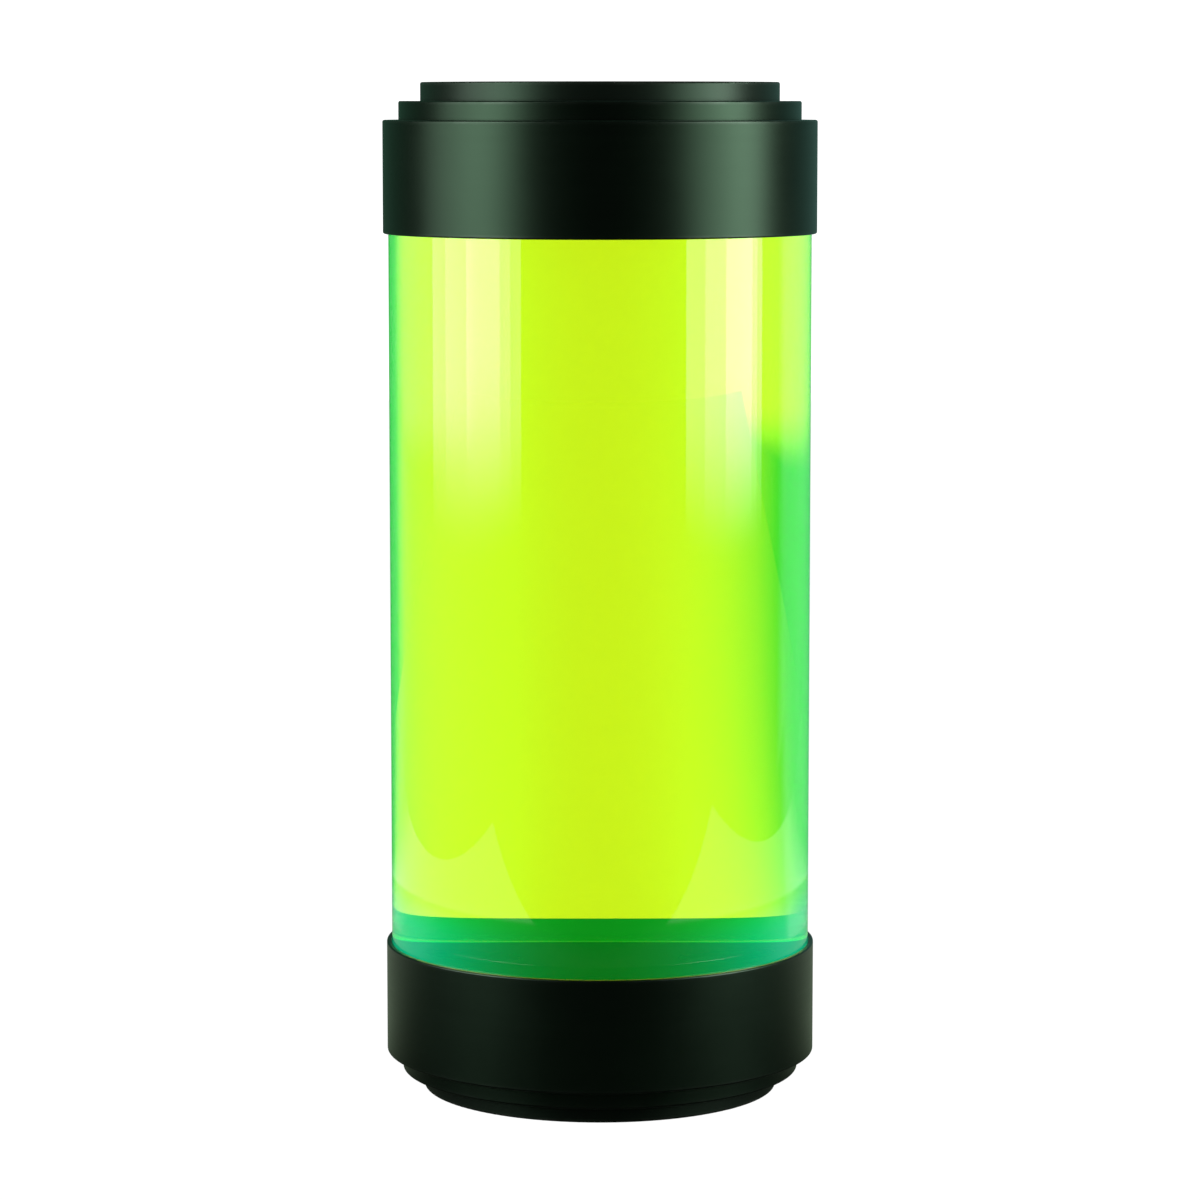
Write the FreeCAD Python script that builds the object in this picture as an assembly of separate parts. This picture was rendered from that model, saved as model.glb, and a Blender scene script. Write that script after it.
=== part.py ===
import FreeCAD, Part

import math
import os

# Tube coolant reservoir: a clear tube between two identical screwed ends. Millimetres, +Z up,
# the bottom face on Z = 0. The top end is drawn in place. The bottom end is the same set of
# pieces turned half a turn about a horizontal axis, so every thread stays right-handed.

# --- overall ---
HEIGHT = 152.4
MID_HEIGHT = HEIGHT / 2.0

# --- tube ---
TUBE_RADIUS = 31.75
TUBE_BORE = 25.4
TUBE_TOP = 142.0
TUBE_SHOULDER = 133.4
TUBE_RELIEF_TOP = 134.3
TUBE_RELIEF_RADIUS = 29.8
TUBE_EDGE = 0.3

# --- collar thread, between tube and collar ---
COLLAR_PITCH = 2.0
COLLAR_CREST = 31.0
COLLAR_CORE = 30.0
COLLAR_GAP = 0.12
COLLAR_FLAT = 0.35
COLLAR_FLANK = math.radians(30.0)
TUBE_THREAD_START = 135.1
TUBE_THREAD_TURNS = 3.0
COLLAR_THREAD_START = TUBE_THREAD_START + 0.5 * COLLAR_PITCH
COLLAR_THREAD_TURNS = 2.5

# --- collar ---
RING_RADIUS = 32.55
RING_BOTTOM = 129.9
RING_TOP = 146.8
STEP_RADIUS = 30.15
STEP_TOP = 149.6
LIP_BORE = 31.87
LIP_TOP = 134.1
FLANGE_UNDERSIDE = 144.8
COLLAR_BORE = 27.1
COLLAR_GROOVE_RADIUS = 27.85
COLLAR_GROOVE_BOTTOM = 146.55
COLLAR_GROOVE_TOP = 147.9
OUTER_EDGE = 0.3
RIM_EDGE = 0.25

# --- end plate ---
BOSS_RADIUS = 26.88
PLATE_FLANGE_RADIUS = 29.9
PLATE_FLANGE_TOP = 144.3
SPIGOT_RADIUS = 25.3
SPIGOT_BOTTOM = 132.6
SPIGOT_EDGE = 0.6
SNAP_GROOVE_RADIUS = 25.25
SNAP_GROOVE_BOTTOM = 146.7
SNAP_GROOVE_TOP = 147.75

# --- snap ring and thrust washer ---
SNAP_INNER = 26.2
SNAP_OUTER = 27.7
SNAP_THICKNESS = 1.0
SNAP_OPENING = 7.0
WASHER_INNER = 27.4
WASHER_OUTER = 29.7

# --- seals on the spigot ---
SPIGOT_SEAL_HEIGHTS = {"outer": 139.4, "inner": 135.8}
SPIGOT_GROOVE_RADIUS = 23.5
SPIGOT_GROOVE_WIDTH = 3.0
SPIGOT_SEAL_OUTER = 25.32
SPIGOT_SEAL_WIDTH = 2.5
SEAL_BULGE = 0.35

# --- ports ---
PORT_NAMES = ("a", "b", "c")
PORT_CIRCLE = 15.5
PORT_FIRST_ANGLE = 90.0
PORT_PITCH = 1.337
PORT_FLANK = math.radians(27.5)
PORT_GAP = 0.12
PLUG_CREST = 6.46
PLUG_CORE = 5.65
PLUG_FLAT = 0.22
PORT_ROOT = PLUG_CREST + PORT_GAP
PORT_CREST = PLUG_CORE + PORT_GAP
PORT_THREAD_BOTTOM = 140.4
PORT_THREAD_START = 141.4
PORT_THREAD_TURNS = 5.0
PORT_THROUGH = 5.0
COUNTERBORE_RADIUS = 9.0
COUNTERBORE_FLOOR = 149.4
COUNTERBORE_EDGE = 0.4

# --- stop plugs ---
HEAD_RADIUS = 8.5
HEAD_TOP = 152.0
HEAD_EDGE = 0.4
HEAD_GROOVE_RADIUS = 8.0
HEAD_GROOVE_ROOF = 150.8
PLUG_BOTTOM = 142.6
PLUG_TIP_EDGE = 0.4
PLUG_THREAD_START = PORT_THREAD_START + 1.5 * PORT_PITCH
PLUG_THREAD_TURNS = 3.0
HEX_ACROSS_FLATS = 6.0
HEX_DEPTH = 4.0
PLUG_SEAL_INNER = 6.0
PLUG_SEAL_OUTER = 7.9

# --- coolant ---
COOLANT_TOP = 131.6

# --- how pieces are drawn ---
ROOT_OVERLAP = 0.15
EDGE_MATCH = 1e-4


def vector(x, y, z):
    """Return a point or direction."""
    return FreeCAD.Vector(x, y, z)


def turned(profile):
    """Revolve a closed list of (radius, height) corners about Z."""
    corners = [vector(radius, 0.0, height) for radius, height in profile]
    face = Part.Face(Part.makePolygon(corners + [corners[0]]))
    return face.revolve(vector(0, 0, 0), vector(0, 0, 1), 360.0)


def rounded(shape, edge_radius, rims):
    """Round the full circular edges that lie at the given (radius, height) pairs."""
    chosen = []
    for edge in shape.Edges:
        if not isinstance(edge.Curve, Part.Circle):
            continue
        for radius, height in rims:
            same_radius = abs(edge.Curve.Radius - radius) < EDGE_MATCH
            same_height = abs(edge.Curve.Center.z - height) < EDGE_MATCH
            if same_radius and same_height:
                chosen.append(edge)
    return shape.makeFillet(edge_radius, chosen)


def thread_ridge(pitch, turns, start, base_radius, tip_radius, base_width, tip_width):
    """Sweep one right-handed thread ridge from its base cylinder to its tip cylinder.

    The centre of the ridge starts at height start on the +X side. The base is carried
    ROOT_OVERLAP further into the wall it grows from, along the same flanks.
    """
    depth = tip_radius - base_radius
    outward = 1.0 if depth > 0 else -1.0
    flank = (base_width - tip_width) / 2.0 / abs(depth)
    sunk_radius = base_radius - outward * ROOT_OVERLAP
    sunk_half = base_width / 2.0 + flank * ROOT_OVERLAP
    tip_half = tip_width / 2.0
    corners = [
        vector(sunk_radius, 0.0, -sunk_half),
        vector(tip_radius, 0.0, -tip_half),
        vector(tip_radius, 0.0, tip_half),
        vector(sunk_radius, 0.0, sunk_half),
    ]
    profile = Part.makePolygon(corners + [corners[0]])
    path = Part.Wire(Part.makeHelix(pitch, pitch * turns, base_radius))
    sweep = Part.BRepOffsetAPI.MakePipeShell(path)
    sweep.setFrenetMode(True)
    sweep.add(profile, False, False)
    sweep.build()
    sweep.makeSolid()
    ridge = sweep.shape()
    if ridge.Volume < 0:
        ridge.reverse()
    ridge.translate(vector(0.0, 0.0, start))
    return ridge


def ridge_widths(pitch, crest_flat, depth, flank_angle, gap):
    """Return (bolt base width, nut tip width) that leave a gap, square to the flank, on both sides."""
    spread = 2.0 * math.tan(flank_angle)
    bolt_base = crest_flat + spread * depth
    bolt_at_nut_tip = crest_flat + spread * (depth - gap)
    nut_tip = pitch - bolt_at_nut_tip - 2.0 * gap / math.cos(flank_angle)
    return bolt_base, nut_tip


def seal_ring(inner_radius, outer_radius, bottom, top, flat_faces):
    """Make a squeezed O-ring: two parallel faces joined by bulging sides.

    flat_faces is "axial" where the ring is pressed between heights, and "radial" where it is
    pressed between an inner and an outer cylinder.
    """
    middle_height = (bottom + top) / 2.0
    middle_radius = (inner_radius + outer_radius) / 2.0
    if flat_faces == "axial":
        low_left = vector(inner_radius + SEAL_BULGE, 0.0, bottom)
        low_right = vector(outer_radius - SEAL_BULGE, 0.0, bottom)
        high_right = vector(outer_radius - SEAL_BULGE, 0.0, top)
        high_left = vector(inner_radius + SEAL_BULGE, 0.0, top)
        edges = [
            Part.makeLine(low_left, low_right),
            Part.Arc(low_right, vector(outer_radius, 0.0, middle_height), high_right).toShape(),
            Part.makeLine(high_right, high_left),
            Part.Arc(high_left, vector(inner_radius, 0.0, middle_height), low_left).toShape(),
        ]
    else:
        low_left = vector(inner_radius, 0.0, bottom + SEAL_BULGE)
        low_right = vector(outer_radius, 0.0, bottom + SEAL_BULGE)
        high_right = vector(outer_radius, 0.0, top - SEAL_BULGE)
        high_left = vector(inner_radius, 0.0, top - SEAL_BULGE)
        edges = [
            Part.Arc(low_left, vector(middle_radius, 0.0, bottom), low_right).toShape(),
            Part.makeLine(low_right, high_right),
            Part.Arc(high_right, vector(middle_radius, 0.0, top), high_left).toShape(),
            Part.makeLine(high_left, low_left),
        ]
    face = Part.Face(Part.Wire(edges))
    return face.revolve(vector(0, 0, 0), vector(0, 0, 1), 360.0)


def port_centres():
    """Return the (name, x, y) of each port on its circle."""
    centres = []
    for index, name in enumerate(PORT_NAMES):
        angle = math.radians(PORT_FIRST_ANGLE + 360.0 * index / len(PORT_NAMES))
        centres.append((name, PORT_CIRCLE * math.cos(angle), PORT_CIRCLE * math.sin(angle)))
    return centres


def turned_over(shape):
    """Return the same piece at the other end, turned half a turn about a level X axis."""
    copy = shape.copy()
    copy.rotate(vector(0.0, 0.0, MID_HEIGHT), vector(1, 0, 0), 180.0)
    return copy


def make_tube():
    """Clear tube, turned down and threaded at both ends."""
    top_side = [
        (TUBE_BORE, TUBE_TOP),
        (COLLAR_CORE - TUBE_EDGE, TUBE_TOP),
        (COLLAR_CORE, TUBE_TOP - TUBE_EDGE),
        (COLLAR_CORE, TUBE_RELIEF_TOP),
        (TUBE_RELIEF_RADIUS, TUBE_RELIEF_TOP),
        (TUBE_RELIEF_RADIUS, TUBE_SHOULDER),
        (TUBE_RADIUS - TUBE_EDGE, TUBE_SHOULDER),
        (TUBE_RADIUS, TUBE_SHOULDER - TUBE_EDGE),
    ]
    low_side = [(radius, HEIGHT - height) for radius, height in reversed(top_side)]
    body = turned(top_side + low_side)
    depth = COLLAR_CREST - COLLAR_CORE
    base_width, _ = ridge_widths(COLLAR_PITCH, COLLAR_FLAT, depth, COLLAR_FLANK, COLLAR_GAP)
    ridge = thread_ridge(
        COLLAR_PITCH,
        TUBE_THREAD_TURNS,
        TUBE_THREAD_START,
        COLLAR_CORE,
        COLLAR_CREST,
        base_width,
        COLLAR_FLAT,
    )
    return body.fuse(ridge).fuse(turned_over(ridge))


def make_coolant():
    """Coolant in the tube and in the three lower ports, with a small air gap at the top."""
    floor = HEIGHT - SPIGOT_BOTTOM
    plug_tip = HEIGHT - PLUG_BOTTOM
    body = Part.makeCylinder(TUBE_BORE, COOLANT_TOP - floor, vector(0.0, 0.0, floor))
    for _, x, y in port_centres():
        leg = Part.makeCylinder(PORT_THROUGH, floor - plug_tip, vector(x, -y, plug_tip))
        body = body.fuse(leg)
    return body


def make_collar():
    """Threaded collar: outer ring, raised step, inner thread and the groove of the snap ring."""
    depth = COLLAR_CREST - COLLAR_CORE
    nut_root = COLLAR_CREST + COLLAR_GAP
    nut_tip = COLLAR_CORE + COLLAR_GAP
    body = turned(
        [
            (LIP_BORE, RING_BOTTOM),
            (RING_RADIUS, RING_BOTTOM),
            (RING_RADIUS, RING_TOP),
            (STEP_RADIUS, RING_TOP),
            (STEP_RADIUS, STEP_TOP),
            (COLLAR_BORE, STEP_TOP),
            (COLLAR_BORE, COLLAR_GROOVE_TOP),
            (COLLAR_GROOVE_RADIUS, COLLAR_GROOVE_TOP),
            (COLLAR_GROOVE_RADIUS, COLLAR_GROOVE_BOTTOM),
            (COLLAR_BORE, COLLAR_GROOVE_BOTTOM),
            (COLLAR_BORE, FLANGE_UNDERSIDE),
            (nut_root, FLANGE_UNDERSIDE),
            (nut_root, LIP_TOP),
            (LIP_BORE, LIP_TOP),
        ]
    )
    body = rounded(body, OUTER_EDGE, [(RING_RADIUS, RING_TOP), (STEP_RADIUS, STEP_TOP)])
    body = rounded(body, RIM_EDGE, [(RING_RADIUS, RING_BOTTOM)])
    _, tip_width = ridge_widths(COLLAR_PITCH, COLLAR_FLAT, depth, COLLAR_FLANK, COLLAR_GAP)
    base_width = tip_width + 2.0 * math.tan(COLLAR_FLANK) * depth
    ridge = thread_ridge(
        COLLAR_PITCH,
        COLLAR_THREAD_TURNS,
        COLLAR_THREAD_START,
        nut_root,
        nut_tip,
        base_width,
        tip_width,
    )
    return body.fuse(ridge)


def make_port_cutter():
    """Space cut for one port at the origin: counterbore, threaded length and through hole."""
    length = HEIGHT - COUNTERBORE_FLOOR
    cutter = Part.makeCylinder(COUNTERBORE_RADIUS, length, vector(0, 0, COUNTERBORE_FLOOR))
    lead_in = Part.makeCone(
        COUNTERBORE_RADIUS,
        COUNTERBORE_RADIUS + COUNTERBORE_EDGE,
        COUNTERBORE_EDGE,
        vector(0.0, 0.0, HEIGHT - COUNTERBORE_EDGE),
    )
    threaded = Part.makeCylinder(
        PORT_ROOT,
        COUNTERBORE_FLOOR - PORT_THREAD_BOTTOM,
        vector(0.0, 0.0, PORT_THREAD_BOTTOM),
    )
    through = Part.makeCylinder(
        PORT_THROUGH,
        PORT_THREAD_BOTTOM - SPIGOT_BOTTOM,
        vector(0.0, 0.0, SPIGOT_BOTTOM),
    )
    return cutter.fuse(lead_in).fuse(threaded).fuse(through)


def port_ridge_widths():
    """Return (plug base width, port base width, port tip width) of the port thread."""
    depth = PLUG_CREST - PLUG_CORE
    plug_base, port_tip = ridge_widths(PORT_PITCH, PLUG_FLAT, depth, PORT_FLANK, PORT_GAP)
    port_base = port_tip + 2.0 * math.tan(PORT_FLANK) * depth
    return plug_base, port_base, port_tip


def make_plate():
    """End plate: boss, clamped flange, spigot with seal grooves, and three threaded ports."""
    profile = [
        (0.0, HEIGHT),
        (BOSS_RADIUS, HEIGHT),
        (BOSS_RADIUS, SNAP_GROOVE_TOP),
        (SNAP_GROOVE_RADIUS, SNAP_GROOVE_TOP),
        (SNAP_GROOVE_RADIUS, SNAP_GROOVE_BOTTOM),
        (BOSS_RADIUS, SNAP_GROOVE_BOTTOM),
        (BOSS_RADIUS, PLATE_FLANGE_TOP),
        (PLATE_FLANGE_RADIUS, PLATE_FLANGE_TOP),
        (PLATE_FLANGE_RADIUS, TUBE_TOP),
        (SPIGOT_RADIUS, TUBE_TOP),
    ]
    for height in SPIGOT_SEAL_HEIGHTS.values():
        profile += [
            (SPIGOT_RADIUS, height + SPIGOT_GROOVE_WIDTH / 2.0),
            (SPIGOT_GROOVE_RADIUS, height + SPIGOT_GROOVE_WIDTH / 2.0),
            (SPIGOT_GROOVE_RADIUS, height - SPIGOT_GROOVE_WIDTH / 2.0),
            (SPIGOT_RADIUS, height - SPIGOT_GROOVE_WIDTH / 2.0),
        ]
    profile += [
        (SPIGOT_RADIUS, SPIGOT_BOTTOM + SPIGOT_EDGE),
        (SPIGOT_RADIUS - SPIGOT_EDGE, SPIGOT_BOTTOM),
        (0.0, SPIGOT_BOTTOM),
    ]
    body = rounded(turned(profile), OUTER_EDGE, [(BOSS_RADIUS, HEIGHT)])
    _, base_width, tip_width = port_ridge_widths()
    cutter = make_port_cutter()
    ridge = thread_ridge(
        PORT_PITCH,
        PORT_THREAD_TURNS,
        PORT_THREAD_START,
        PORT_ROOT,
        PORT_CREST,
        base_width,
        tip_width,
    )
    for _, x, y in port_centres():
        body = body.cut(cutter.translated(vector(x, y, 0.0)))
        body = body.fuse(ridge.translated(vector(x, y, 0.0)))
    return body


def make_spigot_seal(height):
    """O-ring in one groove of the spigot, pressed between groove floor and tube bore."""
    half = SPIGOT_SEAL_WIDTH / 2.0
    return seal_ring(
        SPIGOT_GROOVE_RADIUS,
        SPIGOT_SEAL_OUTER,
        height - half,
        height + half,
        "radial",
    )


def make_thrust_washer():
    """Slippery washer that the collar presses and turns on."""
    return turned(
        [
            (WASHER_INNER, PLATE_FLANGE_TOP),
            (WASHER_OUTER, PLATE_FLANGE_TOP),
            (WASHER_OUTER, FLANGE_UNDERSIDE),
            (WASHER_INNER, FLANGE_UNDERSIDE),
        ]
    )


def make_snap_ring():
    """Open spring ring, half in the boss and half in the collar, that ties the two together."""
    top = SNAP_GROOVE_BOTTOM + SNAP_THICKNESS
    ring = turned(
        [
            (SNAP_INNER, SNAP_GROOVE_BOTTOM),
            (SNAP_OUTER, SNAP_GROOVE_BOTTOM),
            (SNAP_OUTER, top),
            (SNAP_INNER, top),
        ]
    )
    opening = Part.makeBox(
        SNAP_OUTER,
        SNAP_OPENING,
        SNAP_THICKNESS,
        vector(0.0, -SNAP_OPENING / 2.0, SNAP_GROOVE_BOTTOM),
    )
    return ring.cut(opening)


def make_hex_socket():
    """Prism cut for a hexagon key."""
    corner_radius = HEX_ACROSS_FLATS / 2.0 / math.cos(math.radians(30.0))
    corners = []
    for index in range(6):
        angle = math.radians(60.0 * index)
        corners.append(
            vector(corner_radius * math.cos(angle), corner_radius * math.sin(angle), HEAD_TOP)
        )
    face = Part.Face(Part.makePolygon(corners + [corners[0]]))
    return face.extrude(vector(0.0, 0.0, -HEX_DEPTH))


def make_plug():
    """Stop plug at the origin: round head with seal groove, hexagon socket and threaded shank."""
    body = turned(
        [
            (0.0, PLUG_BOTTOM),
            (PLUG_CORE - PLUG_TIP_EDGE, PLUG_BOTTOM),
            (PLUG_CORE, PLUG_BOTTOM + PLUG_TIP_EDGE),
            (PLUG_CORE, HEAD_GROOVE_ROOF),
            (HEAD_GROOVE_RADIUS, HEAD_GROOVE_ROOF),
            (HEAD_GROOVE_RADIUS, COUNTERBORE_FLOOR),
            (HEAD_RADIUS, COUNTERBORE_FLOOR),
            (HEAD_RADIUS, HEAD_TOP),
            (0.0, HEAD_TOP),
        ]
    )
    body = rounded(body, HEAD_EDGE, [(HEAD_RADIUS, HEAD_TOP)])
    base_width, _, _ = port_ridge_widths()
    ridge = thread_ridge(
        PORT_PITCH,
        PLUG_THREAD_TURNS,
        PLUG_THREAD_START,
        PLUG_CORE,
        PLUG_CREST,
        base_width,
        PLUG_FLAT,
    )
    return body.fuse(ridge).cut(make_hex_socket())


def make_plug_seal():
    """O-ring at the origin, pressed between a plug's head and its counterbore floor."""
    return seal_ring(
        PLUG_SEAL_INNER,
        PLUG_SEAL_OUTER,
        COUNTERBORE_FLOOR,
        HEAD_GROOVE_ROOF,
        "axial",
    )


def make_end():
    """Return the pieces of the top end by short name."""
    pieces = {
        "plate": make_plate(),
        "collar": make_collar(),
        "thrust_washer": make_thrust_washer(),
        "snap_ring": make_snap_ring(),
    }
    for name, height in SPIGOT_SEAL_HEIGHTS.items():
        pieces["spigot_seal_" + name] = make_spigot_seal(height)
    plug = make_plug()
    plug_seal = make_plug_seal()
    for name, x, y in port_centres():
        pieces["plug_" + name] = plug.translated(vector(x, y, 0.0))
        pieces["plug_seal_" + name] = plug_seal.translated(vector(x, y, 0.0))
    return pieces


def main():
    """Build every piece and write one STEP file for each."""
    os.makedirs("parts", exist_ok=True)
    nodes = {"tube": make_tube(), "coolant": make_coolant()}
    for name, shape in make_end().items():
        nodes["top_" + name] = shape
        nodes["bottom_" + name] = turned_over(shape)
    for name, shape in nodes.items():
        shape.exportStep("parts/" + name + ".step")


main()
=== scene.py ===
"""Looks of an upright tube coolant reservoir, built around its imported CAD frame.

Everything is in metres, in the frame of the CAD part: +Z up along the tube, the foot on Z = 0.
"""
import logging
import math
from dataclasses import dataclass
from enum import Enum
from functools import reduce
from typing import Any, Optional, Union

import bpy
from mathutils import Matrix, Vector


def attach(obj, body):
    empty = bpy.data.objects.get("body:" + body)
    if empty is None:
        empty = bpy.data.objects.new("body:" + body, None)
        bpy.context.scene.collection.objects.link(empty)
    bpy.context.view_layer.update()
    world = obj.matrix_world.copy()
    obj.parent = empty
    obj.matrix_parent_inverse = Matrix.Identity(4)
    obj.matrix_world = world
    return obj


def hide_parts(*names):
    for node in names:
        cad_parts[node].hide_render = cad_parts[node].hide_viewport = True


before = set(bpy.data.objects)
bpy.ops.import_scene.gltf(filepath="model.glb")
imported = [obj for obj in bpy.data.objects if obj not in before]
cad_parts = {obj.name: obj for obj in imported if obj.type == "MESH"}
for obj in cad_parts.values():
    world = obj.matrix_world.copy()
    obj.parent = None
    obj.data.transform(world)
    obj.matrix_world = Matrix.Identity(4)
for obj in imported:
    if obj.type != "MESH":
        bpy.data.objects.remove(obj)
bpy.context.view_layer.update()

LOG = logging.getLogger("reservoir")
MM = 0.001
MID_HEIGHT = 76.2 * MM
TURN_STEPS = 256
SHARP_ANGLE = math.radians(28.0)
SOFT_EDGE = 0.1 * MM
FINE_DETAIL = 3.0
Colour = tuple[float, float, float]
Span = tuple[float, float]
Profile = list[Span]
Key = Union[str, int]
BLACK: Colour = (0.0, 0.0, 0.0)
WHITE: Colour = (1.0, 1.0, 1.0)


class End(Enum):
    """The two ends of the reservoir, by the first word of their nodes."""

    TOP = "top"
    BOTTOM = "bottom"


# ---------------------------------------------------------------- node building


class Wire:
    """One output socket of a node tree, with the arithmetic that the finishes use."""

    def __init__(self, graph: "Graph", socket: bpy.types.NodeSocket) -> None:
        """Keep the graph and the socket.

        Args:
            graph: the graph that new nodes are added to.
            socket: the output socket that is wrapped.
        """
        self.graph = graph
        self.socket = socket

    def _math(self, operation: str, first: Any, second: Any = 0.0) -> "Wire":
        """Add one Math node.

        Args:
            operation: the Math node's operation.
            first: the first input, a wire or a number.
            second: the second input, a wire or a number.

        Returns:
            The wire of the result.
        """
        node = self.graph.node("ShaderNodeMath", {"operation": operation}, {0: first, 1: second})
        return self.graph.wire(node)

    def __add__(self, other: Any) -> "Wire":
        """Return this plus other."""
        return self._math("ADD", self, other)

    def __sub__(self, other: Any) -> "Wire":
        """Return this minus other."""
        return self._math("SUBTRACT", self, other)

    def __rsub__(self, other: Any) -> "Wire":
        """Return other minus this."""
        return self._math("SUBTRACT", other, self)

    def __mul__(self, other: Any) -> "Wire":
        """Return this times other."""
        return self._math("MULTIPLY", self, other)

    def __abs__(self) -> "Wire":
        """Return this without its sign."""
        return self._math("ABSOLUTE", self)

    def at_least(self, other: Any) -> "Wire":
        """Return the larger of this and other."""
        return self._math("MAXIMUM", self, other)

    def root(self) -> "Wire":
        """Return the square root."""
        return self._math("SQRT", self)

    def step(self, low: float, high: float) -> "Wire":
        """Return a smooth step from 0 at low to 1 at high.

        Args:
            low: the value where the step starts.
            high: the value where it ends, above low.

        Returns:
            The wire of the step.
        """
        node = self.graph.node(
            "ShaderNodeMapRange",
            {"interpolation_type": "SMOOTHSTEP"},
            {"Value": self, "From Min": low, "From Max": high},
        )
        return self.graph.wire(node)


class Graph:
    """A node tree being filled."""

    def __init__(self, tree: bpy.types.NodeTree) -> None:
        """Empty the tree and keep it.

        Args:
            tree: a shader or geometry node tree.
        """
        self.tree = tree
        tree.nodes.clear()

    def node(
        self,
        kind: str,
        settings: Optional[dict[str, Any]] = None,
        inputs: Optional[dict[Key, Any]] = None,
    ) -> bpy.types.Node:
        """Add one node.

        Args:
            kind: the node's type name.
            settings: attributes that are set first.
            inputs: values or wires by socket name or number.

        Returns:
            The node.
        """
        node = self.tree.nodes.new(kind)
        for name, value in (settings or {}).items():
            setattr(node, name, value)
        for key, value in (inputs or {}).items():
            self.feed(node.inputs[key], value)
        return node

    def feed(self, socket: bpy.types.NodeSocket, value: Any) -> None:
        """Link a wire to a socket, or set the socket to a plain value.

        Args:
            socket: the input socket.
            value: a wire, a number, a colour, a vector or a data block.
        """
        if isinstance(value, Wire):
            self.tree.links.new(value.socket, socket)
        elif socket.type == "RGBA":
            socket.default_value = (*value, 1.0)
        else:
            socket.default_value = value

    def wire(self, node: bpy.types.Node, output: Key = 0) -> Wire:
        """Wrap one output of a node."""
        return Wire(self, node.outputs[output])

    def mix(self, factor: Any, low: Any, high: Any) -> Wire:
        """Mix two colours.

        Args:
            factor: 0 for low and 1 for high.
            low: the first colour.
            high: the second colour.

        Returns:
            The wire of the mixed colour.
        """
        node = self.node("ShaderNodeMix", {"data_type": "RGBA"}, {"Factor": factor})
        colours = [socket for socket in node.inputs if socket.type == "RGBA"]
        self.feed(colours[0], low)
        self.feed(colours[1], high)
        results = [socket for socket in node.outputs if socket.type == "RGBA"]
        return Wire(self, results[0])

    def blend(self, factor: Any, low: Wire, high: Wire) -> Wire:
        """Mix two shaders.

        Args:
            factor: 0 for low and 1 for high.
            low: the first shader.
            high: the second shader.

        Returns:
            The wire of the mixed shader.
        """
        return self.wire(self.node("ShaderNodeMixShader", {}, {0: factor, 1: low, 2: high}))


@dataclass(frozen=True)
class Place:
    """Where a point is on a turned piece."""

    point: Wire
    across: Wire
    along: Wire
    height: Wire
    radius: Wire
    lathe: Wire


class Surface(Graph):
    """The node tree of one material."""

    def __init__(self, name: str) -> None:
        """Make an empty material.

        Args:
            name: the material's name.
        """
        self.material = bpy.data.materials.new(name)
        self.material.use_nodes = True
        super().__init__(self.material.node_tree)

    def place(self) -> Place:
        """Read the place on the piece, and the (radius, height) that a lathe tool follows.

        Returns:
            The wires of the place.
        """
        point = self.wire(self.node("ShaderNodeTexCoord"), "Object")
        split = self.node("ShaderNodeSeparateXYZ", {}, {0: point})
        across, along, height = (self.wire(split, index) for index in range(3))
        radius = (across * across + along * along).root()
        lathe = self.wire(self.node("ShaderNodeCombineXYZ", {}, {0: radius, 2: height}))
        return Place(point, across, along, height, radius, lathe)

    def noise(self, place: Wire, grain: float, detail: float = 2.0) -> Wire:
        """Return a noise of about 0 to 1.

        Args:
            place: where the noise is read.
            grain: the size of one grain.
            detail: the number of finer layers.

        Returns:
            The wire of the noise.
        """
        inputs = {"Vector": place, "Scale": 1.0 / grain, "Detail": detail}
        return self.wire(self.node("ShaderNodeTexNoise", {}, inputs))

    def bump(self, height: Wire, depth: float) -> Wire:
        """Return a normal that follows fine relief.

        Args:
            height: the relief, from 0 to 1.
            depth: how deep it is.

        Returns:
            The wire of the normal.
        """
        return self.wire(self.node("ShaderNodeBump", {}, {"Height": height, "Distance": depth}))

    def shader(self, inputs: dict[Key, Any]) -> Wire:
        """Return a Principled shader with the given inputs."""
        return self.wire(self.node("ShaderNodeBsdfPrincipled", {}, inputs))

    def done(self, surface: Wire, volume: Optional[Wire] = None) -> bpy.types.Material:
        """Join the shaders to the output.

        Args:
            surface: the surface shader.
            volume: the volume shader, if there is one.

        Returns:
            The finished material.
        """
        inputs = {"Surface": surface}
        if volume:
            inputs["Volume"] = volume
        self.node("ShaderNodeOutputMaterial", {}, inputs)
        return self.material


# ---------------------------------------------------------------- finishes


@dataclass(frozen=True)
class ClearAcrylic:
    """Polished clear tube with its cut threads left frosted."""

    ior: float = 1.49
    tint: Colour = (0.985, 1.0, 0.99)
    lamp_tint: Colour = (0.93, 0.95, 0.93)
    haze: float = 0.004
    haze_grain: float = 1.1 * MM
    frost: float = 0.34
    frost_from: float = 57.1 * MM

    def build(self) -> bpy.types.Material:
        """Build the material. Light from the lamps passes it as through a thin clear wall.

        Returns:
            The material.
        """
        surface = Surface("clear_acrylic")
        place = surface.place()
        cut = abs(place.height - MID_HEIGHT).step(self.frost_from, self.frost_from + SOFT_EDGE)
        polish = surface.noise(place.point, self.haze_grain) * self.haze
        glass = surface.shader(
            {
                "Base Color": self.tint,
                "Roughness": polish + cut * self.frost,
                "IOR": self.ior,
                "Transmission Weight": 1.0,
            }
        )
        clear = surface.node("ShaderNodeBsdfTransparent", {}, {"Color": self.lamp_tint})
        path = surface.node("ShaderNodeLightPath")
        shadow = surface.wire(path, "Is Shadow Ray")
        return surface.done(surface.blend(shadow, glass, surface.wire(clear)))


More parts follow.
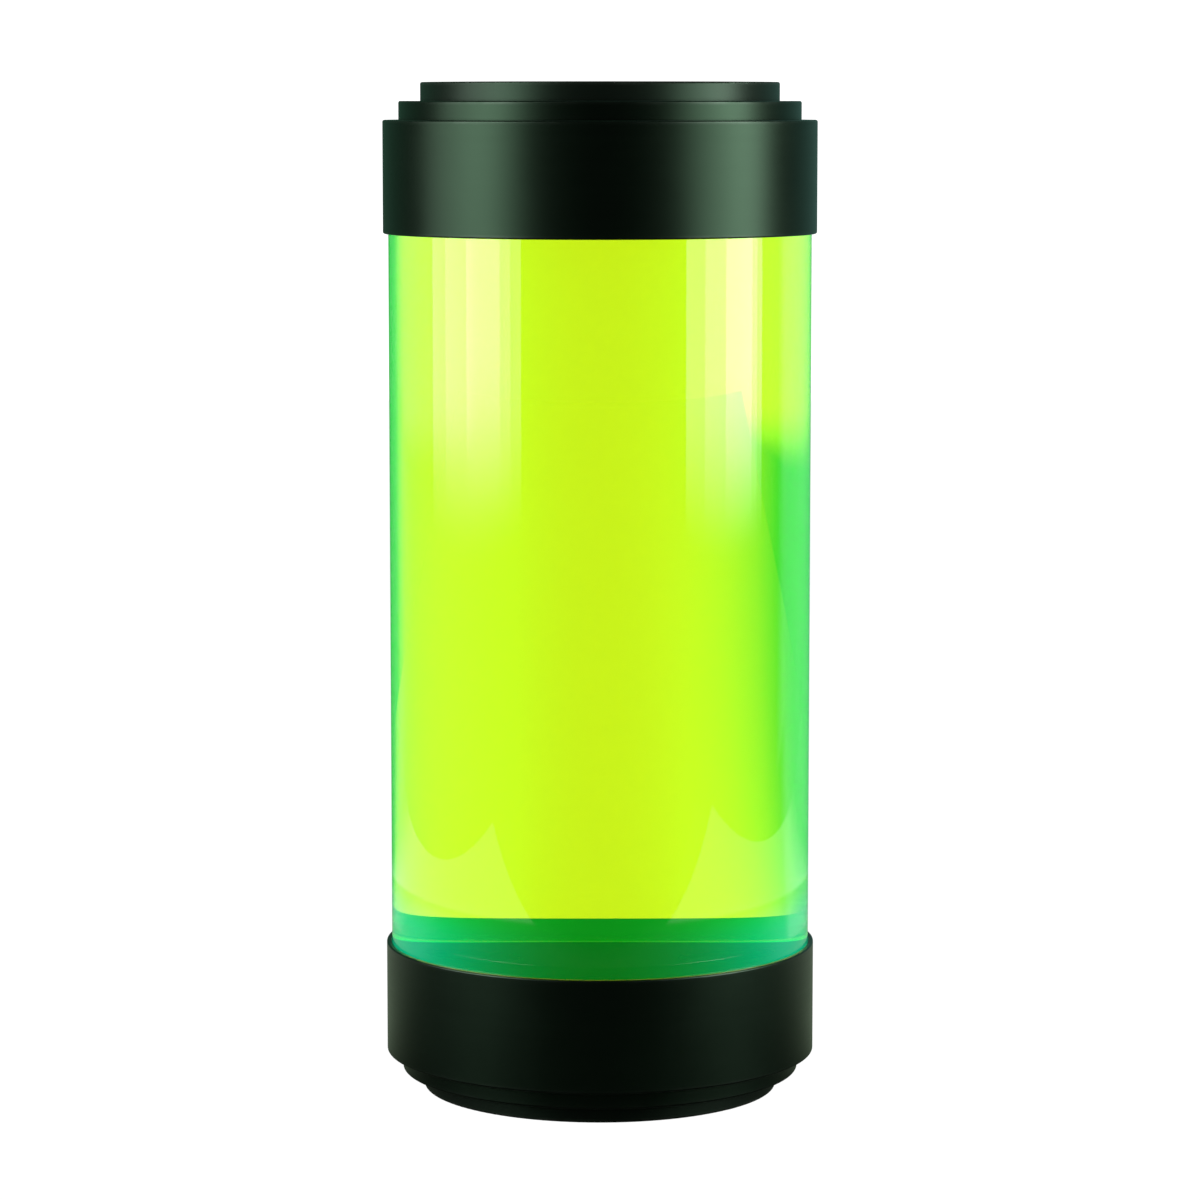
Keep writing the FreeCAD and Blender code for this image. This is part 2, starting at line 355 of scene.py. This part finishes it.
@dataclass(frozen=True)
class GreenCoolant:
    """Clear fluorescent liquid: it takes the blue out of white light and carries a painted green
    glow.

    The glow is an emission set by place, not lit by the lamps: a faint even painted glow, painted
    light that is strongest on the two sides across X, where the side lamps stand, and painted glow
    that is bluer at the rim and at the foot.
    """

    ior: float = 1.33
    # Painted glow: emission that stands in for the fluorescence the lamps light, set by place, not
    # by light.
    painted_glow: Colour = (0.010, 1.0, 0.052)
    painted_rim_glow: Colour = (0.012, 1.0, 0.08)
    painted_front_glow: float = 0.14
    painted_side_glow: float = 0.29
    painted_side_reach: float = 24.0 * MM
    rim_from: float = 24.8 * MM
    rim_full: float = 25.4 * MM
    painted_foot_glow: Colour = (0.0, 1.0, 0.50)
    low_full: float = 25.5 * MM
    low_to: float = 32.0 * MM
    cloud_grain: float = 30.0 * MM
    cloud_depth: float = 0.08
    milk: Colour = (0.01, 0.95, 0.06)
    milk_share: float = 0.04
    absorbed: Colour = (0.956, 0.957, 0.0)
    density: float = 120.0

    def build(self) -> bpy.types.Material:
        """Build the material.

        Returns:
            The material.
        """
        surface = Surface("coolant")
        place = surface.place()
        # Painted side light: the glow grows with the square of the distance across X, towards the
        # side lamps.
        out = place.across * (1.0 / self.painted_side_reach)
        rim = abs(place.across).step(self.rim_from, self.rim_full)
        low = 1.0 - place.height.step(self.low_full, self.low_to)
        cloud = surface.noise(place.point, self.cloud_grain) - 0.5
        side = out * out
        strength = (side * self.painted_side_glow + self.painted_front_glow) * (cloud * self.cloud_depth + 1.0)
        # Painted glow colour: bluer near the wall, and bluer near the foot on the two sides.
        painted_glow = surface.mix(rim, self.painted_glow, self.painted_rim_glow)
        painted_glow = surface.mix(low * side, painted_glow, self.painted_foot_glow)
        clear = surface.shader(
            {
                "Base Color": WHITE,
                "Roughness": 0.0,
                "IOR": self.ior,
                "Transmission Weight": 1.0,
                "Emission Color": surface.mix(strength, BLACK, painted_glow),
                "Emission Strength": 1.0,
            }
        )
        milky = surface.shader(
            {"Base Color": self.milk, "Roughness": 1.0, "Specular IOR Level": 0.0}
        )
        volume = surface.node(
            "ShaderNodeVolumeAbsorption", {}, {"Color": self.absorbed, "Density": self.density}
        )
        shader = surface.blend(self.milk_share, clear, milky)
        return surface.done(shader, surface.wire(volume))


@dataclass(frozen=True)
class TurnedBlack:
    """Black surface with the fine rings of the lathe tool, and edges rubbed a little lighter.

    Each edge is a radius and a height from the tube's middle. A face inside the radius and the
    height of wet touches the liquid.
    """

    name: str
    colour: Colour
    worn: Colour
    metallic: float
    roughness: float
    gloss: float = 0.5
    gloss_tint: Colour = WHITE
    ring_width: float = 0.14 * MM
    ring_depth: float = 0.002 * MM
    ring_spread: float = 0.06
    patch_width: float = 9.0 * MM
    patch_spread: float = 0.04
    patch_lift: float = 1.2
    edges: tuple[Span, ...] = ()
    edge_width: float = 0.55 * MM
    edge_core: float = 0.11 * MM
    rub_width: float = 4.0 * MM
    rub_steps: Span = (0.35, 0.75)
    rub_least: float = 0.3
    wet: Optional[Span] = None
    wet_grain: float = 0.8 * MM
    wet_roughness: float = 0.9

    def soaked(self, surface: Surface, place: Place, dry: Wire) -> Wire:
        """Take the gloss off the face that the liquid wets.

        Args:
            surface: the material's tree.
            place: the place on the piece.
            dry: the shader of the dry surface.

        Returns:
            The wire of the shader for the whole piece.
        """
        reach, height = self.wet
        inner = 1.0 - abs(place.height - MID_HEIGHT).step(height, height + SOFT_EDGE)
        within = 1.0 - place.radius.step(reach, reach + SOFT_EDGE)
        grain = surface.noise(place.point, self.wet_grain)
        wet = surface.shader(
            {
                "Base Color": surface.mix(grain, self.colour, self.worn),
                "Roughness": self.wet_roughness,
                "Specular IOR Level": 0.0,
            }
        )
        return surface.blend(inner * within, dry, wet)

    def wear(self, surface: Surface, place: Place) -> Wire:
        """Return how rubbed the surface is.

        Args:
            surface: the material's tree.
            place: the place on the piece.

        Returns:
            The wire of the wear, 0 away from the edges and up to 1 on them.
        """
        from_middle = abs(place.height - MID_HEIGHT)
        near = []
        for radius, height in self.edges:
            out = place.radius - radius
            up = from_middle - height
            distance = (out * out + up * up).root()
            near.append(1.0 - distance.step(self.edge_core, self.edge_width))
        patches = surface.noise(place.point, self.rub_width, FINE_DETAIL).step(*self.rub_steps)
        return reduce(Wire.at_least, near) * (patches * (1.0 - self.rub_least) + self.rub_least)

    def build(self) -> bpy.types.Material:
        """Build the material.

        Returns:
            The material.
        """
        surface = Surface(self.name)
        place = surface.place()
        rings = surface.noise(place.lathe, self.ring_width, FINE_DETAIL)
        patches = surface.noise(place.point, self.patch_width, FINE_DETAIL)
        spread = rings * self.ring_spread + patches * self.patch_spread
        middle = (self.ring_spread + self.patch_spread) / 2.0
        lifted = tuple(part * self.patch_lift for part in self.colour)
        base = surface.mix(patches, self.colour, lifted)
        if self.edges:
            base = surface.mix(self.wear(surface, place), base, self.worn)
        shader = surface.shader(
            {
                "Base Color": base,
                "Roughness": spread + (self.roughness - middle),
                "Metallic": self.metallic,
                "Specular IOR Level": self.gloss,
                "Specular Tint": self.gloss_tint,
                "Normal": surface.bump(rings, self.ring_depth),
            }
        )
        if self.wet:
            shader = self.soaked(surface, place, shader)
        return surface.done(shader)


@dataclass(frozen=True)
class FineFinish:
    """Small part with a fine even grain: rubber, sheet, spring steel or plating."""

    name: str
    low: Colour
    high: Colour
    metallic: float
    roughness: float
    grain: float
    grain_depth: float
    spread: float = 0.08
    detail: float = 4.0

    def build(self) -> bpy.types.Material:
        """Build the material.

        Returns:
            The material.
        """
        surface = Surface(self.name)
        place = surface.place()
        grain = surface.noise(place.point, self.grain, self.detail)
        shader = surface.shader(
            {
                "Base Color": surface.mix(grain, self.low, self.high),
                "Roughness": grain * self.spread + (self.roughness - 0.5 * self.spread),
                "Metallic": self.metallic,
                "Normal": surface.bump(grain, self.grain_depth),
            }
        )
        return surface.done(shader)


COLLAR_EDGES = ((32.4 * MM, 70.45 * MM), (30.0 * MM, 73.25 * MM), (32.45 * MM, 53.8 * MM))
PLATE_EDGES = ((26.75 * MM, 76.05 * MM),)

ANODISED = TurnedBlack(
    name="black_anodised",
    colour=(0.0145, 0.0268, 0.0168),
    worn=(0.030, 0.044, 0.033),
    metallic=1.0,
    roughness=0.34,
    edges=COLLAR_EDGES,
)
ACETAL = TurnedBlack(
    name="black_acetal",
    colour=(0.0022, 0.0032, 0.0024),
    worn=(0.012, 0.015, 0.012),
    metallic=0.0,
    roughness=0.36,
    gloss=0.28,
    gloss_tint=(0.55, 1.0, 0.65),
    wet=(25.5 * MM, 57.0 * MM),
    edges=PLATE_EDGES,
)
PLATING = FineFinish(
    name="black_plated_brass",
    low=(0.030, 0.031, 0.033),
    high=(0.048, 0.049, 0.052),
    metallic=1.0,
    roughness=0.30,
    grain=0.5 * MM,
    grain_depth=0.002 * MM,
)
RUBBER = FineFinish(
    name="seal_rubber",
    low=(0.010, 0.010, 0.010),
    high=(0.022, 0.022, 0.022),
    metallic=0.0,
    roughness=0.72,
    grain=0.4 * MM,
    grain_depth=0.02 * MM,
    spread=0.16,
)
SHEET = FineFinish(
    name="white_ptfe",
    low=(0.76, 0.76, 0.72),
    high=(0.86, 0.86, 0.83),
    metallic=0.0,
    roughness=0.46,
    grain=1.5 * MM,
    grain_depth=0.004 * MM,
    spread=0.1,
)
SPRING = FineFinish(
    name="spring_steel",
    low=(0.36, 0.36, 0.35),
    high=(0.50, 0.50, 0.49),
    metallic=1.0,
    roughness=0.32,
    grain=0.25 * MM,
    grain_depth=0.003 * MM,
    spread=0.12,
)


# ---------------------------------------------------------------- meshes


def lathe(name: str, profile: Profile) -> bpy.types.Object:
    """Turn a closed outline into a solid about Z.

    Args:
        name: the piece's name.
        profile: (radius, height) corners, anticlockwise with radius to the right.

    Returns:
        The piece.
    """
    vertices = []
    rings = []
    for radius, height in profile:
        count = TURN_STEPS if radius > 0.0 else 1
        first = len(vertices)
        for index in range(count):
            angle = math.tau * index / TURN_STEPS
            vertices.append((radius * math.cos(angle), radius * math.sin(angle), height))
        rings.append([first + index % count for index in range(TURN_STEPS)])
    faces = []
    for low, high in zip(rings, rings[1:] + rings[:1]):
        for index in range(TURN_STEPS):
            after = (index + 1) % TURN_STEPS
            corners = dict.fromkeys([low[index], low[after], high[after], high[index]])
            if len(corners) > 2:
                faces.append(list(corners))
    mesh = bpy.data.meshes.new(name)
    mesh.from_pydata(vertices, [], faces)
    mesh.validate()
    piece = bpy.data.objects.new(name, mesh)
    bpy.context.scene.collection.objects.link(piece)
    return piece


class Maker(Graph):
    """A Geometry Nodes tree with named sizes, which is baked into a piece's mesh."""

    def __init__(self, name: str, sizes: dict[str, float]) -> None:
        """Make the tree and one named input for each size.

        Args:
            name: the tree's name.
            sizes: each input's name and value.
        """
        tree = bpy.data.node_groups.new(name, "GeometryNodeTree")
        super().__init__(tree)
        tree.interface.new_socket("Geometry", in_out="INPUT", socket_type="NodeSocketGeometry")
        tree.interface.new_socket("Geometry", in_out="OUTPUT", socket_type="NodeSocketGeometry")
        self.values = {}
        for label, value in sizes.items():
            item = tree.interface.new_socket(label, in_out="INPUT", socket_type="NodeSocketFloat")
            self.values[item.identifier] = value
        self.entry = self.node("NodeGroupInput")

    def given(self, name: str) -> Wire:
        """Return the wire of one input."""
        return self.wire(self.entry, name)

    def vector(self, across: Any = 0.0, along: Any = 0.0, up: Any = 0.0) -> Wire:
        """Return a vector of three numbers or wires."""
        return self.wire(self.node("ShaderNodeCombineXYZ", {}, {0: across, 1: along, 2: up}))

    def joined(self, body: Wire, others: list[Wire]) -> Wire:
        """Return one closed solid of several.

        Args:
            body: the main solid.
            others: the solids that are joined to it.

        Returns:
            The wire of the union.
        """
        node = self.node("GeometryNodeMeshBoolean", {"operation": "UNION", "solver": "EXACT"})
        for solid in [body] + others:
            self.feed(node.inputs["Mesh 2"], solid)
        return self.wire(node)

    def bake(self, piece: bpy.types.Object, shape: Wire, material: bpy.types.Material) -> None:
        """End the tree and turn its result into the piece's own plain mesh.

        Args:
            piece: the object that the tree works on.
            shape: the wire of the finished shape.
            material: the finish of the whole shape.
        """
        real = self.wire(self.node("GeometryNodeRealizeInstances", {}, {0: shape}))
        dressed = self.wire(
            self.node("GeometryNodeSetMaterial", {}, {"Geometry": real, "Material": material})
        )
        self.node("NodeGroupOutput", {}, {0: dressed})
        modifier = piece.modifiers.new(self.tree.name, "NODES")
        modifier.node_group = self.tree
        for identifier, value in self.values.items():
            modifier[identifier] = value
        depsgraph = bpy.context.evaluated_depsgraph_get()
        mesh = bpy.data.meshes.new_from_object(piece.evaluated_get(depsgraph))
        piece.modifiers.remove(modifier)
        piece.data = mesh
        mesh.name = piece.name
        mesh.shade_smooth()
        mesh.set_sharp_from_angle(angle=SHARP_ANGLE)


# ---------------------------------------------------------------- reservoir


def dress(node: str, material: bpy.types.Material) -> None:
    """Give a CAD node its finish.

    Args:
        node: the node's name.
        material: the finish.
    """
    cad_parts[node].material_slots[0].material = material
    LOG.info("%s: %s", node, material.name)


def settle(piece: bpy.types.Object, node: str, body: str) -> None:
    """Put a finished piece in the place of its CAD node.

    Args:
        piece: the piece.
        node: the CAD node that it replaces.
        body: the body that it rides on.
    """
    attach(piece, body)
    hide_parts(node)
    LOG.info("%s: %d faces, replaces %s", piece.name, len(piece.data.polygons), node)


@dataclass
class ClearTube:
    """Thick clear tube, turned down at both ends for the collars' threads."""

    radius: float = 31.75 * MM
    bore: float = 25.4 * MM
    length: float = 131.6 * MM
    end_length: float = 8.6 * MM
    relief_length: float = 0.9 * MM
    relief_radius: float = 29.8 * MM
    core: float = 30.0 * MM
    crest: float = 31.0 * MM
    edge: float = 0.3 * MM
    pitch: float = 2.0 * MM
    turns: float = 3.0
    thread_from_end: float = 6.9 * MM
    base_width: float = 1.505 * MM
    crest_flat: float = 0.35 * MM
    sunk: float = 0.15 * MM
    rounds: int = 96

    def outline(self) -> Profile:
        """Work out the wall's outline, without its threads.

        Returns:
            The closed outline.
        """
        half = self.length / 2.0
        shoulder = half - self.end_length
        upper = [
            (self.radius, shoulder - self.edge),
            (self.radius - self.edge, shoulder),
            (self.relief_radius, shoulder),
            (self.relief_radius, shoulder + self.relief_length),
            (self.core, shoulder + self.relief_length),
            (self.core, half - self.edge),
            (self.core - self.edge, half),
            (self.bore, half),
        ]
        lower = [(radius, -height) for radius, height in reversed(upper)]
        return [(radius, MID_HEIGHT + height) for radius, height in lower + upper]

    def ridge(self, maker: Maker) -> Wire:
        """Wind one thread ridge, as wide at its foot as the flanks make it.

        Args:
            maker: the tree that the ridge is made in.

        Returns:
            The wire of the ridge's solid.
        """
        pitch, turns, core = maker.given("Pitch"), maker.given("Turns"), maker.given("Core")
        depth, sunk = maker.given("Depth"), maker.given("Sunk")
        foot, tip = maker.given("Foot Width"), maker.given("Crest Flat")
        slope = (foot - tip) * (self.sunk / (self.crest - self.core))
        path = maker.node(
            "GeometryNodeCurveSpiral",
            {},
            {
                "Resolution": self.rounds,
                "Rotations": turns,
                "Start Radius": core,
                "End Radius": core,
                "Height": pitch * turns,
                "Reverse": True,
            },
        )
        upright = maker.node(
            "GeometryNodeSetCurveNormal", {"mode": "Z_UP"}, {"Curve": maker.wire(path)}
        )
        section = maker.node(
            "GeometryNodeCurvePrimitiveQuadrilateral",
            {"mode": "TRAPEZOID"},
            {"Height": depth + sunk, "Bottom Width": foot + slope, "Top Width": tip, "Offset": 0.0},
        )
        outward = maker.node(
            "GeometryNodeTransform",
            {},
            {
                "Geometry": maker.wire(section),
                "Translation": maker.vector(0.0, (depth - sunk) * 0.5, 0.0),
            },
        )
        turned = maker.node(
            "GeometryNodeTransform",
            {},
            {"Geometry": maker.wire(outward), "Rotation": (0.0, 0.0, -math.pi / 2.0)},
        )
        swept = maker.node(
            "GeometryNodeCurveToMesh",
            {},
            {"Curve": maker.wire(upright), "Profile Curve": maker.wire(turned), "Fill Caps": True},
        )
        return maker.wire(swept)

    def build(self, acrylic: bpy.types.Material) -> bpy.types.Object:
        """Make the wall with a thread at each end.

        Args:
            acrylic: the finish.

        Returns:
            The piece.
        """
        piece = lathe("tube_wall", self.outline())
        start = MID_HEIGHT + self.length / 2.0 - self.thread_from_end
        maker = Maker(
            "tube_threads",
            {
                "Pitch": self.pitch,
                "Turns": self.turns,
                "Core": self.core,
                "Depth": self.crest - self.core,
                "Sunk": self.sunk,
                "Foot Width": self.base_width,
                "Crest Flat": self.crest_flat,
                "Start": start,
            },
        )
        ridge = self.ridge(maker)
        top = maker.node(
            "GeometryNodeTransform",
            {},
            {"Geometry": ridge, "Translation": maker.vector(0.0, 0.0, maker.given("Start"))},
        )
        bottom = maker.node(
            "GeometryNodeTransform",
            {},
            {
                "Geometry": ridge,
                "Rotation": (math.pi, 0.0, 0.0),
                "Translation": maker.vector(0.0, 0.0, 2.0 * MID_HEIGHT - maker.given("Start")),
            },
        )
        shape = maker.joined(maker.given("Geometry"), [maker.wire(top), maker.wire(bottom)])
        maker.bake(piece, shape, acrylic)
        settle(piece, "tube", "tube")
        return piece


@dataclass
class CoolantFill:
    """The liquid: it meets the wall and the lower end plate with no gap, and fills the ports."""

    radius: float = 25.4 * MM
    wall_overlap: float = 0.03 * MM
    floor_overlap: float = 0.01 * MM
    floor: float = 19.8 * MM
    top: float = 131.6 * MM
    sag: float = 0.8 * MM
    surface_rise: tuple[Span, ...] = (
        (0.99, 0.7),
        (0.97, 0.38),
        (0.93, 0.12),
        (0.86, 0.0),
    )
    port_circle: float = 15.5 * MM
    port_radius: float = 5.0 * MM
    port_foot: float = 9.8 * MM
    port_count: int = 3
    port_steps: int = 64

    def outline(self) -> Profile:
        """Work out the outline, with the surface drawn up a little at the wall.

        Returns:
            The closed outline.
        """
        reach = self.radius + self.wall_overlap
        low = self.floor - self.floor_overlap
        level = self.top - self.sag
        curve = [(reach * part, level + self.sag * lift) for part, lift in self.surface_rise]
        return [(0.0, low), (reach, low), (reach, self.top)] + curve + [(0.0, level)]

    def build(self, coolant: bpy.types.Material) -> bpy.types.Object:
        """Make the liquid.

        Args:
            coolant: the finish.

        Returns:
            The piece.
        """
        piece = lathe("coolant_fill", self.outline())
        maker = Maker(
            "coolant_ports",
            {
                "Circle": self.port_circle,
                "Port Radius": self.port_radius + self.floor_overlap,
                "Depth": self.floor - self.port_foot + self.wall_overlap,
                "Middle": (self.floor + self.port_foot + self.wall_overlap) / 2.0,
            },
        )
        ring = maker.node(
            "GeometryNodeMeshCircle",
            {},
            {"Vertices": self.port_count, "Radius": maker.given("Circle")},
        )
        placed = maker.node(
            "GeometryNodeTransform",
            {},
            {
                "Geometry": maker.wire(ring),
                "Rotation": (0.0, 0.0, -math.pi / 2.0),
                "Translation": maker.vector(0.0, 0.0, maker.given("Middle")),
            },
        )
        leg = maker.node(
            "GeometryNodeMeshCylinder",
            {},
            {
                "Vertices": self.port_steps,
                "Radius": maker.given("Port Radius"),
                "Depth": maker.given("Depth"),
            },
        )
        legs = maker.node(
            "GeometryNodeInstanceOnPoints",
            {},
            {"Points": maker.wire(placed), "Instance": maker.wire(leg)},
        )
        real = maker.node("GeometryNodeRealizeInstances", {}, {0: maker.wire(legs)})
        shape = maker.joined(maker.given("Geometry"), [maker.wire(real)])
        maker.bake(piece, shape, coolant)
        settle(piece, "coolant", "tube")
        return piece


@dataclass
class ReservoirEnd:
    """One end: collar, plate, washer, snap ring, seals and the three stop plugs."""

    end: End
    ports: tuple[str, ...] = ("a", "b", "c")
    spigot_seals: tuple[str, ...] = ("outer", "inner")

    def build(self, finishes: dict[str, bpy.types.Material]) -> None:
        """Dress the end's nodes.

        Args:
            finishes: the materials by name.
        """
        parts = {
            "collar": ANODISED.name,
            "plate": ACETAL.name,
            "thrust_washer": SHEET.name,
            "snap_ring": SPRING.name,
        }
        for seal in self.spigot_seals:
            parts["spigot_seal_" + seal] = RUBBER.name
        for port in self.ports:
            parts["plug_" + port] = PLATING.name
            parts["plug_seal_" + port] = RUBBER.name
        for part, finish in parts.items():
            dress(self.end.value + "_" + part, finishes[finish])


# ---------------------------------------------------------------- studio


@dataclass(frozen=True)
class SoftBox:
    """A large plain lamp that faces the tube's axis and fades out at its lower edge."""

    name: str
    near_turn: float
    far_turn: float
    low: float
    radiance: float
    high: float = 0.66
    distance: float = 0.62
    fade: float = 0.055

    def build(self) -> None:
        """Place the lamp between two turns from the front, in degrees, and between two heights."""
        angle = math.radians(self.near_turn + self.far_turn) / 2.0
        half = math.radians(abs(self.far_turn - self.near_turn)) / 2.0
        data = bpy.data.lights.new(self.name, "AREA")
        data.shape = "RECTANGLE"
        data.size = 2.0 * self.distance * math.tan(half)
        data.size_y = self.high - self.low
        data.energy = self.radiance * math.pi * data.size * data.size_y
        self.soften(data)
        lamp = bpy.data.objects.new(self.name, data)
        place = Vector((math.sin(angle), -math.cos(angle), 0.0)) * self.distance
        lamp.location = place + Vector((0.0, 0.0, (self.high + self.low) / 2.0))
        lamp.rotation_euler = (-place).to_track_quat("-Z", "Y").to_euler()
        lamp.visible_camera = False
        lamp.visible_transmission = False
        bpy.context.scene.collection.objects.link(lamp)

    def soften(self, data: bpy.types.AreaLight) -> None:
        """Fade the lamp's light out towards its lower edge.

        Args:
            data: the lamp's data block, with its size set.
        """
        data.use_nodes = True
        graph = Graph(data.node_tree)
        place = graph.wire(graph.node("ShaderNodeNewGeometry"), "Parametric")
        split = graph.node("ShaderNodeSeparateXYZ", {}, {0: place})
        strength = graph.wire(split, 1).step(0.0, self.fade / data.size_y)
        light = graph.wire(graph.node("ShaderNodeEmission", {}, {"Strength": strength}))
        graph.node("ShaderNodeOutputLight", {}, {"Surface": light})


SOFT_BOXES = (
    SoftBox("softbox_left", near_turn=-42.0, far_turn=-100.5, low=0.015, radiance=2.6),
    SoftBox("softbox_left_middle", near_turn=-48.0, far_turn=-90.0, low=0.023, radiance=2.1),
    SoftBox("softbox_left_core", near_turn=-54.0, far_turn=-75.0, low=0.030, radiance=3.0),
    SoftBox("softbox_right", near_turn=46.0, far_turn=96.0, low=0.015, radiance=3.4),
    SoftBox("softbox_right_middle", near_turn=57.0, far_turn=92.0, low=0.019, radiance=2.8),
    SoftBox("softbox_right_core", near_turn=70.0, far_turn=88.0, low=0.023, radiance=4.2),
)


@dataclass
class Studio:
    """Camera, lamps, floor and surroundings. Turns and levels are in degrees."""

    distance: float = 0.6412
    eye_height: float = 0.1495
    pitch: float = 6.675
    lens: float = 127.77
    sensor: float = 36.0
    nearest: float = 0.01
    furthest: float = 50.0
    sky: Colour = (1.2, 1.2, 1.2)
    white: Colour = (1.02, 1.02, 1.02)
    backdrop_left: Span = (-35.0, -6.0)
    backdrop_right: Span = (36.5, 47.5)
    wall_left: Span = (-100.0, -90.0)
    wall_foot: Span = (-5.0, -4.0)
    room: Colour = (0.008, 0.010, 0.008)
    behind_left: Colour = (0.04, 0.13, 0.08)
    behind_right: Colour = (0.10, 0.24, 0.20)
    behind_middle: Span = (-6.0, 6.0)
    behind_reach: Span = (50.0, 70.0)
    sheet: tuple[Span, ...] = (
        (-0.247, -0.158),
        (0.273, -0.155),
        (0.257, 0.005),
        (0.24, 0.16),
        (0.5, 1.5),
        (-0.5, 1.5),
        (-0.228, 0.153),
        (-0.2385, -0.03),
    )
    sheet_far: Span = (0.10, 0.20)
    paper_grain: float = 2.0 * MM
    paper_low: Colour = (0.02, 0.02, 0.02)
    paper_high: Colour = (0.03, 0.03, 0.03)
    # Painted shade and painted light that the floor shows in reflections only: dark in front of the
    # object, lit green behind it.
    shade_front: Colour = (0.012, 0.018, 0.010)
    painted_green_light_back: Colour = (0.24, 0.32, 0.21)
    shade_middle: Span = (-0.02, 0.05)
    shade_radius: Span = (0.184, 0.190)

    def camera(self) -> None:
        """Place the camera."""
        data = bpy.data.cameras.new("camera")
        data.lens = self.lens
        data.sensor_width = self.sensor
        data.clip_start = self.nearest
        data.clip_end = self.furthest
        camera = bpy.data.objects.new("camera", data)
        camera.location = (0.0, -self.distance, self.eye_height)
        camera.rotation_euler = (math.radians(90.0 - self.pitch), 0.0, 0.0)
        bpy.context.scene.collection.objects.link(camera)
        bpy.context.scene.camera = camera

    def turn(self, graph: Graph, across: Wire, along: Wire) -> Wire:
        """Work out a turn about Z from straight behind, positive to the right.

        Args:
            graph: the tree that the nodes are added to.
            across: how far to the right the direction points.
            along: how far to the back it points.

        Returns:
            The wire of the turn, in radians.
        """
        return graph.wire(
            graph.node("ShaderNodeMath", {"operation": "ARCTAN2"}, {0: across, 1: along})
        )

    def past(self, turn: Wire, edge: Span) -> Wire:
        """Return how far a turn lies past a soft edge, given in degrees."""
        return turn.step(math.radians(edge[0]), math.radians(edge[1]))

    def backdrop(self, turn: Wire) -> Wire:
        """Work out how much of the white backdrop lies in a direction.

        Args:
            turn: the turn from straight behind.

        Returns:
            The wire of the share, from 0 to 1.
        """
        return self.past(turn, self.backdrop_left) * (1.0 - self.past(turn, self.backdrop_right))

    def behind(self, graph: Graph, turn: Wire) -> Wire:
        """Mix the dim colour behind the object, as reflections show it.

        Args:
            graph: the tree that the nodes are added to.
            turn: the turn from straight behind.

        Returns:
            The wire of the colour.
        """
        side = self.past(turn, self.behind_middle)
        return graph.mix(side, self.behind_left, self.behind_right)

    def surroundings(self) -> None:
        """Show white to the eye, a white backdrop through the tube, and a dim room in mirrors."""
        world = bpy.data.worlds.new("studio")
        world.use_nodes = True
        bpy.context.scene.world = world
        graph = Graph(world.node_tree)
        split = graph.node(
            "ShaderNodeSeparateXYZ",
            {},
            {0: graph.wire(graph.node("ShaderNodeTexCoord"), "Generated")},
        )
        across, along, up = (graph.wire(split, index) for index in range(3))
        turn = self.turn(graph, across, along)
        foot, full = (math.sin(math.radians(level)) for level in self.wall_foot)
        wall = up.step(foot, full) * self.past(turn, self.wall_left)
        wall = wall * (1.0 - self.past(turn, self.backdrop_right))
        clear = graph.mix(self.backdrop(turn).at_least(wall), self.room, self.white)
        back = 1.0 - self.past(abs(turn), self.behind_reach)
        mirrored = graph.mix(back, self.room, self.behind(graph, turn))
        path = graph.node("ShaderNodeLightPath")
        seen = graph.mix(graph.wire(path, "Is Reflection Ray"), clear, mirrored)
        seen = graph.mix(graph.wire(path, "Is Camera Ray"), seen, self.sky)
        background = graph.wire(graph.node("ShaderNodeBackground", {}, {"Color": seen}))
        graph.node("ShaderNodeOutputWorld", {}, {"Surface": background})

    def floor(self) -> None:
        """Lay the pale floor sheet, bright enough to stay white round the object."""
        mesh = bpy.data.meshes.new("floor")
        corners = [(across, along, 0.0) for across, along in self.sheet]
        mesh.from_pydata(corners, [], [tuple(range(len(corners)))])
        floor = bpy.data.objects.new("floor", mesh)
        bpy.context.scene.collection.objects.link(floor)
        surface = Surface("floor")
        place = surface.place()
        turn = self.turn(surface, place.across, place.along)
        path = surface.node("ShaderNodeLightPath")
        mirror = surface.wire(path, "Is Reflection Ray")
        through = surface.wire(path, "Is Transmission Ray")
        # In reflections the floor near the object shows painted shade in front and a painted green
        # light behind, where light through the liquid would fall; further out it shows white, and
        # far back the dim colour behind.
        shade = surface.mix(place.along.step(*self.shade_middle), self.shade_front, self.painted_green_light_back)
        mirrored = surface.mix(place.radius.step(*self.shade_radius), shade, WHITE)
        far = place.along.step(*self.sheet_far)
        mirrored = surface.mix(far, mirrored, self.behind(surface, turn))
        clear = surface.mix(self.backdrop(turn), self.room, self.white)
        clear = surface.mix(through, self.white, clear)
        paper = surface.noise(place.point, self.paper_grain)
        shader = surface.shader(
            {
                "Base Color": surface.mix(paper, self.paper_low, self.paper_high),
                "Roughness": 1.0,
                "Specular IOR Level": 0.0,
                "Emission Color": surface.mix(mirror, clear, mirrored),
                "Emission Strength": 1.0,
            }
        )
        mesh.materials.append(surface.done(shader))

    def build(self) -> None:
        """Set everything up."""
        bpy.context.scene.view_settings.view_transform = "Standard"
        self.camera()
        self.surroundings()
        self.floor()
        for box in SOFT_BOXES:
            box.build()
        LOG.info("studio: camera, floor, %d lamps", len(SOFT_BOXES))


def main() -> None:
    """Build the studio and the looks."""
    logging.basicConfig(level=logging.INFO, format="%(message)s")
    Studio().build()
    makers = (ANODISED, ACETAL, PLATING, RUBBER, SHEET, SPRING)
    finishes = {maker.name: maker.build() for maker in makers}
    ClearTube().build(ClearAcrylic().build())
    CoolantFill().build(GreenCoolant().build())
    for end in End:
        ReservoirEnd(end).build(finishes)


if __name__ == "__main__":
    main()
